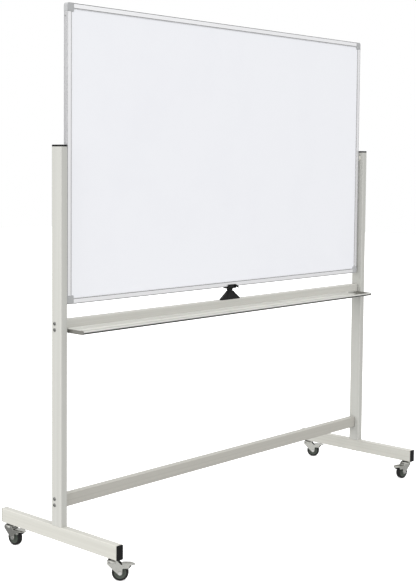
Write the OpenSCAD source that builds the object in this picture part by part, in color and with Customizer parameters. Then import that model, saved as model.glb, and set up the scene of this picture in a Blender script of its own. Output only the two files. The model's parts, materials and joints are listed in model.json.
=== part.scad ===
// Double-sided whiteboard that turns over between two posts, on a stand with castors.
// Millimetres. X runs along the board, the front faces -Y, Z is up.
// The origin is on the floor under the middle of the board's turning axis.

/* [Board] */
// Width of the framed board
board_w = 1524; // [1000:4:1840]
// Height of the framed board
board_h = 914; // [700:2:1100]
// Thickness of the frame, front to back
board_t = 16; // [13:0.5:24]
// Width of the frame's face
rail_face = 18.5; // [15:0.5:30]
// Wall of the frame extrusion
rail_wall = 1.4; // [1:0.1:2]
// Height of the closed chamber along the frame's outer edge
rail_chamber = 6.6; // [5:0.2:9]
// Thickness of each enamelled writing sheet
sheet_t = 0.5; // [0.3:0.1:1]
// Length of a corner cap along each edge
cap_side = 27; // [22:1:40]
// How far a corner cap stands proud of the rails
cap_proud = 0.5; // [0.2:0.1:1.5]
// Radius of a corner cap's outer corner
cap_round = 8; // [3:0.5:14]
// Length of the legs that join a corner cap to its rails
leg_len = 26; // [15:1:50]

/* [Posts and feet] */
// Width of the post and foot tubes, side to side
tube_w = 25; // [20:1:40]
// Depth of a post, front to back
post_d = 45; // [36:1:80]
// Height of a foot tube
foot_h = 45; // [30:1:60]
// Length of a foot with its end caps
foot_len = 545; // [400:5:800]
// Wall of the steel tubes
tube_wall = 1.5; // [1:0.1:2.5]
// Outer corner radius of the steel tubes
tube_round = 2.5; // [2:0.5:4]
// Height of the post above the board's turning axis
post_over = 24; // [18:1:60]
// Thickness of the plastic cap flanges
plug_flange = 4; // [2:0.5:5]

/* [Crossbars] */
// Height of both crossbars
bar_h = 40; // [30:1:60]
// Depth of the lower crossbar, front to back
lower_bar_d = 25; // [20:1:40]
// Depth of the upper crossbar, front to back
upper_bar_d = 30; // [20:1:40]
// Distance of the crossbars' centre behind the posts' centre
bar_back = 7.5; // [0:0.5:10]
// Top of the lower crossbar above the feet
lower_bar_top = 94; // [60:1:300]
// Top of the upper crossbar above the feet
upper_bar_top = 636; // [400:2:800]
// Thickness of the insert flanges between the crossbars and the posts
insert_flange = 2; // [1:0.5:10]
// Length of an insert inside the crossbar
insert_len = 28; // [15:1:60]
// Distance between the two bolts at a crossbar's end
bolt_pitch = 19; // [14:0.5:24]

/* [Marker tray] */
// Depth of the tray in front of the crossbar
tray_depth = 72; // [40:1:120]
// Height of the tray's front lip
tray_lip = 10; // [7:0.5:20]
// Height of the tray's back flange
tray_flange = 14; // [8:0.5:30]
// Wall of the tray extrusion
tray_wall = 1.8; // [1.2:0.1:3]
// Distance from the tray's end to the post
tray_gap = 12; // [4:1:60]
// Thickness of the tray's end caps
tray_cap_t = 3; // [2:0.5:6]

/* [Latch] */
// Width of the latch housing at its foot
latch_w = 98; // [80:1:140]
// Width of the latch housing at its shoulders
latch_top_w = 48; // [40:1:70]
// Height of the latch housing
latch_h = 30; // [25:0.5:40]
// Depth of the latch housing, front to back
latch_d = 13; // [11:0.5:14]
// Width of the sliding neck
neck_w = 31; // [24:1:36]
// Depth of the sliding neck, front to back
neck_d = 6; // [4:0.5:8]
// Gap between the latch housing and the slider's head, and so its travel
latch_travel = 9.5; // [8.5:0.5:12]
// How far the saddle's lips reach up beside the bottom rail
latch_grip = 8; // [4:0.5:8]
// Length of the saddle along the rail
saddle_w = 46; // [36:1:60]

/* [Turning axis] */
// Gap between the board's side and the post
side_gap = 10.5; // [8:0.5:20]
// Radius of the pivot bolts
pivot_r = 4; // [3:0.5:5]

/* [Castors] */
// Diameter of the wheels
wheel_d = 50; // [40:1:75]
// Width of the tyres
wheel_w = 18; // [14:1:24]
// Height of the swivel head above the wheel
head_room = 16; // [14:1:24]
// Distance from the swivel axis to the axle
trail = 22; // [16:1:34]
// Radius of the swivel head
head_r = 17; // [15:0.5:22]
// Distance from a foot's end to the swivel axis
castor_inset = 32; // [25:1:80]
// Direction of the front left castor's pedal, in degrees from +X towards +Y
heading_fl = -48; // [-180:1:180]
// Direction of the front right castor's pedal
heading_fr = 173; // [-180:1:180]
// Direction of the rear left castor's pedal
heading_rl = -85; // [-180:1:180]
// Direction of the rear right castor's pedal
heading_rr = -60; // [-180:1:180]

/* [Hidden] */
$fn = 48;

LEFT = -1;
RIGHT = 1;
FRONT = -1;
REAR = 1;
TOP = 1;
BOTTOM = -1;
SIDES = [LEFT, RIGHT];
ENDS = [FRONT, REAR];

// Clearances
slip = 0.2;          // between a plug or leg and the tube around it
thread_fit = 0.05;   // between a screw and its hole
run_fit = 0.06;      // between a shaft and its running bore
face_gap = 0.4;      // between faces that slide past each other
cut = 1;             // how far a cut runs past the face it opens
tube_inner_round = max(0.4, tube_round - tube_wall + 0.1);

// Heights
castor_h = wheel_d + head_room;
foot_top = castor_h + foot_h;
bar_top_upper = foot_top + upper_bar_top;
bar_top_lower = foot_top + lower_bar_top;
head_floor = 3;      // thickness of the slider's saddle floor
rail_clear = 3;      // from the saddle floor up to the bottom rail
board_z0 = bar_top_upper + latch_h + latch_travel + head_floor + rail_clear;
pivot_z = board_z0 + board_h / 2;
post_top = pivot_z + post_over;

// Places along X
board_x = board_w / 2;
post_in = board_x + side_gap;
post_x = post_in + tube_w / 2;
post_out = post_in + tube_w;
tray_x = post_in - tray_gap;

// Board frame section
web_z = rail_wall + rail_chamber;
slot_z = web_z + rail_wall;
slot_w = board_t - 2 * rail_wall;
panel_t = slot_w - slip;
panel_edge = slot_z + slip;
leg_z = rail_chamber - 2 * slip;
leg_w = slot_w - 2 * slip;
frame_screw_r = 1.6;

// Fasteners
m6_r = 3;
m6_head_r = 5.5;
m6_head_h = 3.2;
m6_key_r = 2.3;
m4_r = 2;

// Tray
tray_y0 = bar_back - upper_bar_d / 2;
tray_front = tray_y0 - tray_depth;
tray_z = bar_top_upper - bar_h;
strip_h = 4;         // height of the strip in the lip
strip_t = 1.2;       // thickness of the strip
tray_screw_n = 5;

// Castors
axle_z = wheel_d / 2;
axle_r = 3;
stem_r = 4;
plate_t = 2;         // thickness of the fork's steel
fork_in = wheel_w / 2 + 2;
fork_out = fork_in + plate_t;
stem_flange = 3;
fork_top = castor_h - stem_flange - face_gap;
fork_plate = 2.4;
pin_r = 2;
// The brake's hinge stands clear of the tyre, beyond and above the axle
hinge_dir = 39;
hinge_far = wheel_d / 2 + 3.4;
hinge_u = trail + hinge_far * cos(hinge_dir);
hinge_z = axle_z + hinge_far * sin(hinge_dir);
pedal_z = wheel_d + 1;
pedal_len = 26;      // from the hinge to the pedal's tip
flange_in = fork_out + face_gap;
tyre_t = 6.5;
rim_r = wheel_d / 2 - tyre_t;

// Castor places: side, end, heading
FL = [LEFT, FRONT, heading_fl];
FR = [RIGHT, FRONT, heading_fr];
RL = [LEFT, REAR, heading_rl];
RR = [RIGHT, REAR, heading_rr];
CASTORS = [FL, FR, RL, RR];
castor_y = foot_len / 2 - castor_inset;

// ---------- shared shapes ----------

// A rectangle with rounded corners, centred
module rounded_rect(w, d, r) {
    square([w - 2 * r, d], center = true);
    square([w, d - 2 * r], center = true);
    for (sx = [-1, 1], sy = [-1, 1])
        translate([sx * (w / 2 - r), sy * (d / 2 - r)]) circle(r);
}

// A rectangular tube section
module tube_section(w, d) {
    difference() {
        rounded_rect(w, d, tube_round);
        rounded_rect(w - 2 * tube_wall, d - 2 * tube_wall, tube_inner_round);
    }
}

// The section of a plug that slides into a tube
module plug_section(w, d) {
    rounded_rect(w - 2 * tube_wall - 2 * slip, d - 2 * tube_wall - 2 * slip, tube_inner_round);
}

// The outward direction of the straight edge from circle a to circle b, each [x, y, r]
function edge_way(a, b) =
    atan2(b[1] - a[1], b[0] - a[0]) - acos((a[2] - b[2]) / norm([b[0] - a[0], b[1] - a[1]]));

// The corners [x, y, r] of an outline, anticlockwise, each swept as an arc of radius r
function round_points(c, steps = 8) = [for (i = [0 : len(c) - 1])
    let (from = edge_way(c[(i + len(c) - 1) % len(c)], c[i]),
         to = edge_way(c[i], c[(i + 1) % len(c)]),
         sweep = (to - from + 720) % 360)
    for (k = [0 : c[i][2] > 0 ? steps : 0])
        let (way = from + sweep * k / steps)
        [c[i][0] + c[i][2] * cos(way), c[i][1] + c[i][2] * sin(way)]];

module round_outline(c) {
    polygon(round_points(c));
}

// Extrudes a Y-Z drawing along X, centred
module along_x(len) {
    rotate([90, 0, 90]) linear_extrude(len, center = true) children();
}

// Extrudes an X-Z drawing along Y, centred
module along_y(len) {
    rotate([90, 0, 0]) linear_extrude(len, center = true) children();
}

// A cylinder along X from x0 to x1
module rod_x(x0, x1, r) {
    translate([min(x0, x1), 0, 0]) rotate([0, 90, 0]) cylinder(h = abs(x1 - x0), r = r);
}

// A cylinder along Y from y0 to y1
module rod_y(y0, y1, r) {
    translate([0, max(y0, y1), 0]) rotate([90, 0, 0]) cylinder(h = abs(y1 - y0), r = r);
}

// A button-head bolt pointing down from the origin, with a hexagonal key hole
module button_bolt(len, r, head_r, head_h, key_r) {
    difference() {
        union() {
            cylinder(h = head_h * 0.5, r = head_r);
            translate([0, 0, head_h * 0.5]) cylinder(h = head_h * 0.5, r1 = head_r, r2 = head_r * 0.66);
            translate([0, 0, -len]) cylinder(h = len, r = r);
        }
        translate([0, 0, head_h * 0.4]) cylinder(h = head_h, r = key_r, $fn = 6);
    }
}

// A pan-head screw pointing down from the origin
module pan_screw(len, r, head_r, head_h) {
    translate([0, 0, -len]) cylinder(h = len, r = r);
    cylinder(h = head_h * 0.6, r = head_r);
    translate([0, 0, head_h * 0.6]) cylinder(h = head_h * 0.4, r1 = head_r, r2 = head_r * 0.75);
}

// ---------- stand ----------

// Heights of the bolts at the crossbars' ends
function bar_bolt_heights(top) = [for (s = [-1, 1]) top - bar_h / 2 + s * bolt_pitch / 2];
BAR_BOLTS = concat(bar_bolt_heights(bar_top_lower), bar_bolt_heights(bar_top_upper));
base_bolt_y = post_d / 4;

module post(side) {
    difference() {
        translate([side * post_x, 0, foot_top])
            linear_extrude(post_top - foot_top) tube_section(tube_w, post_d);
        for (z = BAR_BOLTS) translate([0, bar_back, z])
            rod_x(side * (post_in - cut), side * (post_out + cut), m6_r + slip);
        translate([0, 0, pivot_z])
            rod_x(side * (post_in - cut), side * (post_in + tube_wall + cut), bush_r + slip);
    }
}
module post_left() { color("gainsboro") post(LEFT); }
module post_right() { color("gainsboro") post(RIGHT); }

module foot(side) {
    tube_len = foot_len - 2 * plug_flange;
    difference() {
        translate([side * post_x, 0, castor_h + foot_h / 2]) along_y(tube_len) tube_section(tube_w, foot_h);
        for (e = ENDS) translate([side * post_x, e * castor_y, castor_h - cut])
            cylinder(h = tube_wall + 2 * cut, r = stem_r + thread_fit);
        for (e = ENDS) translate([side * post_x, e * base_bolt_y, castor_h - cut])
            cylinder(h = foot_h + 2 * cut, r = m6_r + slip);
    }
}
module foot_left() { color("gainsboro") foot(LEFT); }
module foot_right() { color("gainsboro") foot(RIGHT); }

plug_len = 14;
module post_caps() {
    color("black") for (s = SIDES) translate([s * post_x, 0, post_top]) {
        linear_extrude(plug_flange) rounded_rect(tube_w, post_d, tube_round);
        translate([0, 0, -plug_len]) linear_extrude(plug_len) difference() {
            plug_section(tube_w, post_d);
            rounded_rect(tube_w - 4 * tube_wall, post_d - 4 * tube_wall, 1);
        }
    }
}

rib_n = 7;
module foot_end_caps() {
    groove_step = foot_h / (rib_n + 1);
    color("black") for (s = SIDES, e = ENDS)
        translate([s * post_x, e * (foot_len / 2 - plug_flange), castor_h + foot_h / 2]) {
            difference() {
                translate([0, e * plug_flange / 2, 0])
                    along_y(plug_flange) rounded_rect(tube_w, foot_h, tube_round);
                for (i = [1 : rib_n])
                    translate([0, e * plug_flange, i * groove_step - foot_h / 2])
                        cube([tube_w - 6, 1.6, groove_step / 2], center = true);
            }
            translate([0, -e * plug_len / 2, 0]) along_y(plug_len) difference() {
                plug_section(tube_w, foot_h);
                rounded_rect(tube_w - 4 * tube_wall, foot_h - 4 * tube_wall, 1);
            }
        }
}

module post_base_inserts() {
    insert_h = 30;
    color("dimgray") for (s = SIDES) translate([s * post_x, 0, foot_top]) difference() {
        linear_extrude(insert_h) plug_section(tube_w, post_d);
        for (e = ENDS) translate([0, e * base_bolt_y, -cut])
            cylinder(h = insert_h + 2 * cut, r = m6_r + thread_fit);
    }
}

module foot_bolts() {
    grip = 20;
    color("silver") for (s = SIDES, e = ENDS)
        translate([s * post_x, e * base_bolt_y, castor_h]) rotate([180, 0, 0])
            button_bolt(foot_h + grip, m6_r, m6_head_r, m6_head_h, m6_key_r);
}

module crossbar(top, depth) {
    translate([0, bar_back, top - bar_h / 2])
        along_x(2 * (post_in - insert_flange)) tube_section(depth, bar_h);
}
module lower_crossbar() { color("gainsboro") crossbar(bar_top_lower, lower_bar_d); }
module upper_crossbar() {
    color("gainsboro") difference() {
        crossbar(bar_top_upper, upper_bar_d);
        for (x = TRAY_SCREWS) translate([x, 0, tray_screw_z])
            rod_y(tray_y0 - cut, tray_y0 + tube_wall + cut, m4_r + thread_fit);
        for (x = LATCH_SCREWS) translate([x, 0, bar_top_upper - tube_wall - cut])
            cylinder(h = tube_wall + 2 * cut, r = m4_r + thread_fit);
    }
}

module crossbar_inserts() {
    bars = [[bar_top_lower, lower_bar_d], [bar_top_upper, upper_bar_d]];
    inner_end = post_in - insert_flange - insert_len;
    color([0.16, 0.16, 0.16]) for (s = SIDES, b = bars)
        difference() {
            translate([0, bar_back, b[0] - bar_h / 2]) {
                translate([s * (post_in - insert_flange / 2), 0, 0])
                    along_x(insert_flange) rounded_rect(b[1] - 1, bar_h - 1, tube_round);
                translate([s * (post_in - insert_flange - insert_len / 2), 0, 0])
                    along_x(insert_len) plug_section(b[1], bar_h);
            }
            for (z = bar_bolt_heights(b[0])) translate([0, bar_back, z])
                rod_x(s * (inner_end - cut), s * (post_in + cut), m6_r + thread_fit);
        }
}

module crossbar_bolts() {
    bolt_bite = insert_len - 4;
    color("dimgray") for (s = SIDES, z = BAR_BOLTS)
        translate([s * post_out, bar_back, z]) rotate([0, s * 90, 0])
            button_bolt(tube_w + insert_flange + bolt_bite, m6_r, m6_head_r, m6_head_h, m6_key_r);
}

// ---------- marker tray ----------

tray_screw_z = tray_z + tray_flange * 0.6;
TRAY_SCREWS = [for (i = [0 : tray_screw_n - 1]) (2 * i / (tray_screw_n - 1) - 1) * (tray_x - 60)];

// The tray's section: back flange, floor, and a lip with a groove along its front
module tray_section() {
    difference() {
        union() {
            translate([tray_y0 - tray_wall, tray_z]) square([tray_wall, tray_flange]);
            translate([tray_front, tray_z]) square([tray_depth, tray_wall]);
            translate([tray_front, tray_z]) square([tray_wall + strip_t, tray_lip - lip_r]);
            translate([tray_front + lip_r, tray_z + tray_lip - lip_r]) circle(lip_r);
        }
        translate([tray_front - cut, tray_z + strip_z]) square([cut + strip_t, strip_h]);
    }
}
lip_r = (tray_wall + strip_t) / 2;
strip_z = 1.2;

module marker_tray() {
    color("lightgray") difference() {
        along_x(2 * (tray_x - tray_cap_t)) tray_section();
        for (x = TRAY_SCREWS) translate([x, 0, tray_screw_z])
            rod_y(tray_y0 - tray_wall - cut, tray_y0 + cut, m4_r + slip);
    }
}

module tray_edge_strip() {
    color("dimgray") translate([0, tray_front + strip_t / 2 - 0.3, tray_z + strip_z + strip_h / 2])
        along_x(2 * (tray_x - tray_cap_t)) square([strip_t - 0.1, strip_h - 0.1], center = true);
}

module tray_end_cap(side) {
    cap_h = tray_lip + 2.5;
    cap_d = tray_depth + 2;
    cap_x = side * (tray_x - tray_cap_t / 2);
    color("silver") translate([cap_x, tray_y0 - cap_d / 2, tray_z - 1 + cap_h / 2])
        along_x(tray_cap_t) rounded_rect(cap_d, cap_h, 3.5);
}
module tray_end_cap_left() { tray_end_cap(LEFT); }
module tray_end_cap_right() { tray_end_cap(RIGHT); }

module tray_screws() {
    color("silver") for (x = TRAY_SCREWS)
        translate([x, tray_y0 - tray_wall, tray_screw_z]) rotate([90, 0, 0])
            pan_screw(10, m4_r, 3.4, 1.6);
}

// ---------- board ----------

// The frame's section, outer edge down, with the board's middle plane at the origin
module rail_section() {
    difference() {
        translate([-board_t / 2, 0]) square([board_t, rail_face]);
        translate([-slot_w / 2, rail_wall]) square([slot_w, rail_chamber]);
        translate([-slot_w / 2, slot_z]) square([slot_w, rail_face]);
    }
}

// A frame rail lying along X with its outer edge at z = 0
module rail(len) {
    screw_x = len / 2 - leg_len / 2;
    difference() {
        along_x(len) rail_section();
        for (s = SIDES) translate([s * screw_x, 0, -cut])
            cylinder(h = rail_wall + 2 * cut, r = frame_screw_r + slip);
    }
}

// Turns a rail lying at z = 0 to the edge of the board
module on_edge(turn, far) {
    translate([0, 0, pivot_z]) rotate([0, turn, 0]) translate([0, 0, -far]) children();
}
EDGE_BOTTOM = 0;
EDGE_LEFT = 90;
EDGE_TOP = 180;
EDGE_RIGHT = 270;
long_rail = board_w - 2 * cap_side;
short_rail = board_h - 2 * cap_side;

module side_rail(turn) {
    on_edge(turn, board_x) difference() {
        rail(short_rail);
        translate([0, 0, -cut]) cylinder(h = rail_wall + 2 * cut, r = pivot_r + slip);
    }
}
module frame_rail_top() { color("silver") on_edge(EDGE_TOP, board_h / 2) rail(long_rail); }
module frame_rail_bottom() { color("silver") on_edge(EDGE_BOTTOM, board_h / 2) rail(long_rail); }
module frame_rail_left() { color("silver") side_rail(EDGE_LEFT); }
module frame_rail_right() { color("silver") side_rail(EDGE_RIGHT); }

// The block of a panel layer, centred on the board's middle
module panel_layer(y0, t) {
    w = board_w - 2 * panel_edge;
    h = board_h - 2 * panel_edge;
    translate([-w / 2, y0, pivot_z - h / 2]) cube([w, t, h]);
}
module writing_surface_front() { color("white") panel_layer(-panel_t / 2, sheet_t); }
module writing_surface_rear() { color("white") panel_layer(panel_t / 2 - sheet_t, sheet_t); }
module board_core() { color("tan") panel_layer(-panel_t / 2 + sheet_t, panel_t - 2 * sheet_t); }

// A corner cap with its outer corner at the origin and its sides along +X and +Z
module corner_cap() {
    outline = [
        [cap_round, cap_round, cap_round],
        [cap_side - 1, 1, 1],
        [cap_side - 2, cap_side - 2, 2],
        [1, cap_side - 1, 1]
    ];
    difference() {
        union() {
            along_y(board_t + 2 * cap_proud) round_outline(outline);
            for (flip = [0, 1]) mirror([flip, 0, -flip])
                translate([cap_side - 1, -leg_w / 2, rail_wall + slip]) cube([leg_len + 1, leg_w, leg_z]);
        }
        translate([slot_z, -slot_w / 2, slot_z]) cube([cap_side, slot_w, cap_side]);
        for (flip = [0, 1]) mirror([flip, 0, -flip])
            translate([cap_side + leg_len / 2, 0, 0]) cylinder(h = slot_z, r = frame_screw_r + thread_fit);
    }
}

// Places a corner cap at a corner of the board
module at_corner(side, level) {
    color([0.7, 0.71, 0.72]) translate([side * board_x, 0, pivot_z + level * board_h / 2])
        mirror([side > 0 ? 1 : 0, 0, 0]) mirror([0, 0, level > 0 ? 1 : 0]) corner_cap();
}
module corner_cap_top_left() { at_corner(LEFT, TOP); }
module corner_cap_top_right() { at_corner(RIGHT, TOP); }
module corner_cap_bottom_left() { at_corner(LEFT, BOTTOM); }
module corner_cap_bottom_right() { at_corner(RIGHT, BOTTOM); }

module frame_screws() {
    color("silver")
        for (e = [[EDGE_BOTTOM, board_h / 2, long_rail], [EDGE_TOP, board_h / 2, long_rail],
                  [EDGE_LEFT, board_x, short_rail], [EDGE_RIGHT, board_x, short_rail]])
            on_edge(e[0], e[1]) for (s = SIDES)
                translate([s * (e[2] / 2 - leg_len / 2), 0, 0]) rotate([180, 0, 0])
                    pan_screw(rail_wall + leg_z, frame_screw_r, 3, 1.2);
}

// ---------- turning axis ----------

bush_r = pivot_r + 2;
bush_flange_r = pivot_r + 6;
bush_flange = 3;
bush_end = post_in + tube_wall + 2;
bolt_head = 5;

module pivot_bushes() {
    color("ivory") for (s = SIDES) translate([0, 0, pivot_z]) difference() {
        union() {
            rod_x(s * (post_in - bush_flange), s * post_in, bush_flange_r);
            rod_x(s * post_in, s * bush_end, bush_r);
        }
        rod_x(s * (post_in - bush_flange - cut), s * (bush_end + cut), pivot_r + run_fit);
    }
}

module pivot_blocks() {
    block_len = 60;
    color("gray") for (s = SIDES) translate([s * (board_x - rail_wall - rail_chamber / 2), 0, pivot_z])
        difference() {
            cube([leg_z, leg_w, block_len], center = true);
            rod_x(-rail_chamber, rail_chamber, pivot_r + thread_fit);
        }
}

module pivot_bolts() {
    color("silver") for (s = SIDES) translate([0, 0, pivot_z]) {
        rod_x(s * (board_x - rail_wall - rail_chamber + slip), s * (bush_end + face_gap), pivot_r);
        difference() {
            rod_x(s * (bush_end + face_gap), s * (bush_end + face_gap + bolt_head), pivot_r + 3.5);
            translate([s * (bush_end + face_gap + bolt_head), 0, 0]) rotate([0, 90, 0])
                cylinder(h = bolt_head, r = pivot_r * 0.8, center = true, $fn = 6);
        }
    }
}

module pivot_spacers() {
    color("dimgray") for (s = SIDES) translate([0, 0, pivot_z]) difference() {
        rod_x(s * board_x, s * (post_in - bush_flange - face_gap), pivot_r + 4);
        rod_x(s * (board_x - cut), s * post_in, pivot_r + thread_fit);
    }
}

// ---------- latch ----------

latch_foot = 4;      // height of the housing's foot flange
latch_wall = 3;      // wall under the spring
pocket_z = bar_top_upper + latch_wall;
spring_h = 12;
spring_r = 2.1;
wire_r = 0.28;
spring_turns = 4;
neck_z0 = pocket_z + spring_h;
LATCH_SCREWS = [for (s = SIDES) s * (latch_w / 2 - 9)];

module latch_bracket() {
    bevel = 2;
    half_w = latch_w / 2;
    half_top = latch_top_w / 2;
    color([0.12, 0.12, 0.13]) difference() {
        translate([0, 0, bar_top_upper]) along_y(latch_d) polygon([
            [-half_w, 0], [half_w, 0], [half_w, latch_foot],
            [half_top, latch_h - bevel], [half_top - bevel, latch_h],
            [bevel - half_top, latch_h], [-half_top, latch_h - bevel], [-half_w, latch_foot]
        ]);
        translate([-neck_w / 2 - face_gap, -neck_d / 2 - face_gap, pocket_z])
            cube([neck_w + 2 * face_gap, neck_d + 2 * face_gap, latch_h]);
        for (x = LATCH_SCREWS) translate([x, 0, bar_top_upper]) {
            translate([0, 0, -cut]) cylinder(h = latch_h, r = m4_r + slip);
            translate([0, 0, latch_foot]) cylinder(h = latch_h, r = 4.2);
        }
    }
}

module latch_screws() {
    color("silver") for (x = LATCH_SCREWS)
        translate([x, 0, bar_top_upper + latch_foot]) pan_screw(latch_foot + 8, m4_r, 3.6, 2);
}

// Slider: neck in the housing, saddle under the bottom rail, finger tab to the right
module latch_slider() {
    saddle_z = bar_top_upper + latch_h + latch_travel;
    lip_in = board_t / 2 + 0.7;
    lip_t = 2.8;
    lip_h = head_floor + rail_clear + latch_grip;
    tab_reach = 12;
    color([0.1, 0.1, 0.11]) {
        translate([-neck_w / 2, -neck_d / 2, neck_z0])
            cube([neck_w, neck_d, saddle_z + head_floor - neck_z0]);
        translate([-saddle_w / 2, -lip_in - lip_t, saddle_z])
            cube([saddle_w, 2 * (lip_in + lip_t), head_floor]);
        for (e = ENDS) translate([0, e * (lip_in + lip_t / 2), saddle_z]) along_y(lip_t)
            round_outline([
                [-saddle_w / 2 + 1, 1, 1], [saddle_w / 2 - 1, 1, 1],
                [saddle_w / 2 - 4, lip_h - 3, 3], [-saddle_w / 2 + 4, lip_h - 3, 3]
            ]);
        translate([0, -lip_in - lip_t / 2, saddle_z]) along_y(lip_t)
            round_outline([
                [saddle_w / 2 - 8, 1, 1], [saddle_w / 2 + tab_reach, 1.6, 1.6],
                [saddle_w / 2 + tab_reach - 4, 5, 2.4], [saddle_w / 2 - 8, lip_h - 3.2, 3]
            ]);
    }
}

// A ring of the spring's wire at turn t, and the closed tube through all the rings
function wire_ring(t, sides) = [for (j = [0 : sides - 1])
    let (r = spring_r + wire_r * cos(360 * j / sides))
    [r * cos(360 * t), r * sin(360 * t),
     pocket_z + wire_r + (spring_h - 2 * wire_r) * t / spring_turns + wire_r * sin(360 * j / sides)]];
module latch_spring() {
    sides = 6;
    rings = spring_turns * 14;
    points = [for (i = [0 : rings]) each wire_ring(spring_turns * i / rings, sides)];
    faces = concat(
        [[for (j = [0 : sides - 1]) j]],
        [for (i = [0 : rings - 1], j = [0 : sides - 1])
            let (k = (j + 1) % sides, a = i * sides, b = a + sides) [a + j, b + j, b + k, a + k]],
        [[for (j = [sides - 1 : -1 : 0]) rings * sides + j]]);
    color("silver") polyhedron(points, faces);
}

// ---------- castors ----------

// Places a castor's piece: u runs along the pedal, from the swivel axis
module at_castor(c) {
    translate([c[0] * post_x, c[1] * castor_y, 0]) rotate([0, 0, c[2]]) children();
}

nut_h = 6.5;
rivet_h = 2.5;
module castor_stems() {
    stem_z = fork_top - fork_plate - face_gap - rivet_h;
    stem_end = castor_h + tube_wall + nut_h + 2;
    color("gray") for (c = CASTORS) at_castor(c) {
        translate([0, 0, stem_z]) cylinder(h = stem_end - stem_z, r = stem_r);
        translate([0, 0, castor_h - stem_flange]) cylinder(h = stem_flange, r = 9);
        translate([0, 0, stem_z]) cylinder(h = rivet_h, r = 7);
    }
}

module castor_nuts() {
    color("silver") for (c = CASTORS) at_castor(c) translate([0, 0, castor_h + tube_wall]) difference() {
        cylinder(h = nut_h, r = 7.4, $fn = 6);
        translate([0, 0, -cut]) cylinder(h = nut_h + 2 * cut, r = stem_r + thread_fit);
    }
}

// The fork's cheek, in u and z: a leg from the head down to the axle, and an arm out to the brake hinge
module cheek() {
    boss = 7.5;
    ear = 4.5;
    round_outline([
        [8 - head_r, fork_top - 8, 8],
        [trail, axle_z, boss],
        [trail + boss, hinge_z - ear, 0],
        [hinge_u, hinge_z, ear],
        [trail + 2, pedal_z - 1.6, 0],
        [6, fork_top - 7, 7]
    ]);
}

module fork(c) {
    color("silver") at_castor(c) difference() {
        union() {
            translate([0, 0, fork_top - fork_plate]) cylinder(h = fork_plate, r = head_r);
            translate([6 - head_r, -fork_out, fork_top - fork_plate])
                cube([head_r + 2, 2 * fork_out, fork_plate]);
            for (e = ENDS) translate([0, e * (fork_in + plate_t / 2), 0]) along_y(plate_t) cheek();
        }
        translate([0, 0, fork_top - fork_plate - cut])
            cylinder(h = fork_plate + 2 * cut, r = stem_r + run_fit);
        translate([trail, 0, axle_z]) rod_y(-fork_out - cut, fork_out + cut, axle_r + thread_fit);
        translate([hinge_u, 0, hinge_z]) rod_y(-fork_out - cut, fork_out + cut, pin_r + run_fit);
    }
}
module fork_front_left() { fork(FL); }
module fork_front_right() { fork(FR); }
module fork_rear_left() { fork(RL); }
module fork_rear_right() { fork(RR); }

module axle(c) {
    head_h = 3;
    color("dimgray") at_castor(c) translate([trail, 0, axle_z]) {
        rod_y(-fork_out, fork_out + 4.5, axle_r);
        rod_y(-fork_out - head_h, -fork_out, 5);
        translate([0, fork_out + 4, 0]) rotate([90, 0, 0]) cylinder(h = 4, r = 5.6, $fn = 6);
    }
}
module axle_front_left() { axle(FL); }
module axle_front_right() { axle(FR); }
module axle_rear_left() { axle(RL); }
module axle_rear_right() { axle(RR); }

// The pedal: a plate over the wheel, two ears outside the fork, and the hinge pin
module brake_pedal(c) {
    plate_u = trail + 5;
    tip_r = 9;
    tip_u = hinge_u + pedal_len - tip_r;
    half_w = flange_in + plate_t;
    color("silver") at_castor(c) {
        translate([0, 0, pedal_z]) linear_extrude(plate_t) round_outline([
            [plate_u + 2, half_w - 2, 2], [plate_u + 2, -half_w + 2, 2],
            [hinge_u + 4, -half_w + 2, 2], [tip_u, -2, tip_r - 2],
            [tip_u, 2, tip_r - 2], [hinge_u + 4, half_w - 2, 2]
        ]);
        for (e = ENDS) translate([0, e * (flange_in + plate_t / 2), 0]) along_y(plate_t) round_outline([
            [plate_u + 2, pedal_z + 1, 1], [hinge_u, hinge_z, 4.2], [hinge_u + 5, pedal_z + 1, 1]
        ]);
        translate([hinge_u, 0, hinge_z]) rod_y(-half_w - 1, half_w + 1, pin_r);
    }
}
module brake_pedal_front_left() { brake_pedal(FL); }
module brake_pedal_front_right() { brake_pedal(FR); }
module brake_pedal_rear_left() { brake_pedal(RL); }
module brake_pedal_rear_right() { brake_pedal(RR); }

// Wheel centre: bore and boss, thin web and rim
module hub(c) {
    boss_r = 7;
    boss_w = 2 * (fork_in - face_gap);
    web_w = 5;
    rim_w = wheel_w - 2;
    rim_t = 3;
    color([0.33, 0.35, 0.34]) at_castor(c) translate([trail, 0, axle_z]) rotate([90, 0, 0])
        rotate_extrude() {
            translate([axle_r + run_fit, -boss_w / 2]) square([boss_r - axle_r - run_fit, boss_w]);
            translate([boss_r - 1, -web_w / 2]) square([rim_r - rim_t - boss_r + 2, web_w]);
            translate([rim_r - rim_t, -rim_w / 2]) square([rim_t, rim_w]);
        }
}
module hub_front_left() { hub(FL); }
module hub_front_right() { hub(FR); }
module hub_rear_left() { hub(RL); }
module hub_rear_right() { hub(RR); }

module tyre(c) {
    color([0.13, 0.13, 0.13]) at_castor(c) translate([trail, 0, axle_z]) rotate([90, 0, 0])
        rotate_extrude($fn = 96) translate([rim_r + tyre_t / 2, 0]) rounded_rect(tyre_t, wheel_w, 3);
}
module tyre_front_left() { tyre(FL); }
module tyre_front_right() { tyre(FR); }
module tyre_rear_left() { tyre(RL); }
module tyre_rear_right() { tyre(RR); }

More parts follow.
